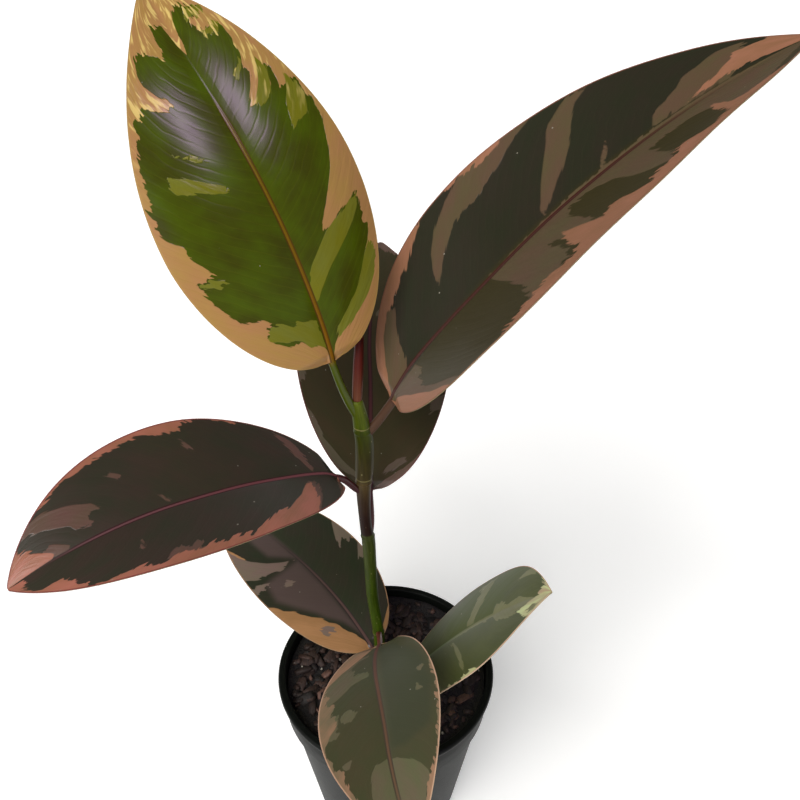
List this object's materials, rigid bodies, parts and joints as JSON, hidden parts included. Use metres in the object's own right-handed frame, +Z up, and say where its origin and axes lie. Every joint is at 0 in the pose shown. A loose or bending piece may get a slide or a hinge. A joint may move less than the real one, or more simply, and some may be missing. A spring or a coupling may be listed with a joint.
{
  "type": "potted ruby rubber plant",
  "caption": "Young rubber plant with broad, pink-edged and mottled leaves on one leaning stem, in a round nursery pot that stands on its flat underside.",
  "frame": {"origin": "centre of the pot's flat underside", "axes": "+Z up through the pot, -Y towards the viewer, +X to the viewer's right"},
  "size_m": [0.2749, 0.2846, 0.399],
  "materials": {
    "pot_plastic": "moulded, near black with a green tinge, satin",
    "potting_mix": "damp bark chips and peat with a few pale mineral grains",
    "stem_bark": "smooth olive green skin, dark brown along one length",
    "sheath_skin": "thin glossy red skin",
    "leaf_stalk": "smooth, green to dark crimson",
    "leaf_top": "glossy green with tan and cream margins",
    "leaf_right": "glossy, near black green with brown bands and a salmon edge",
    "leaf_left": "glossy, near black with salmon pink margins",
    "leaf_back": "glossy, near black green with a thin pink edge",
    "leaf_lower_left": "glossy, purple grey and dark green with a tan margin",
    "leaf_front": "glossy grey green with a salmon edge",
    "leaf_lower_right": "glossy grey green with pale streaks and a cream tip"
  },
  "bodies": {
    "root": {"pot": "pot_plastic", "potting_mix": "potting_mix", "stem": "stem_bark", "bud_sheath": "sheath_skin", "stalk_top": "leaf_stalk", "stalk_right": "leaf_stalk", "stalk_left": "leaf_stalk", "stalk_back": "leaf_stalk", "stalk_lower_left": "leaf_stalk", "stalk_front": "leaf_stalk", "stalk_lower_right": "leaf_stalk", "leaf_top": "leaf_top", "leaf_right": "leaf_right", "leaf_left": "leaf_left", "leaf_back": "leaf_back", "leaf_lower_left": "leaf_lower_left", "leaf_front": "leaf_front", "leaf_lower_right": "leaf_lower_right"}
  },
  "joints": []
}
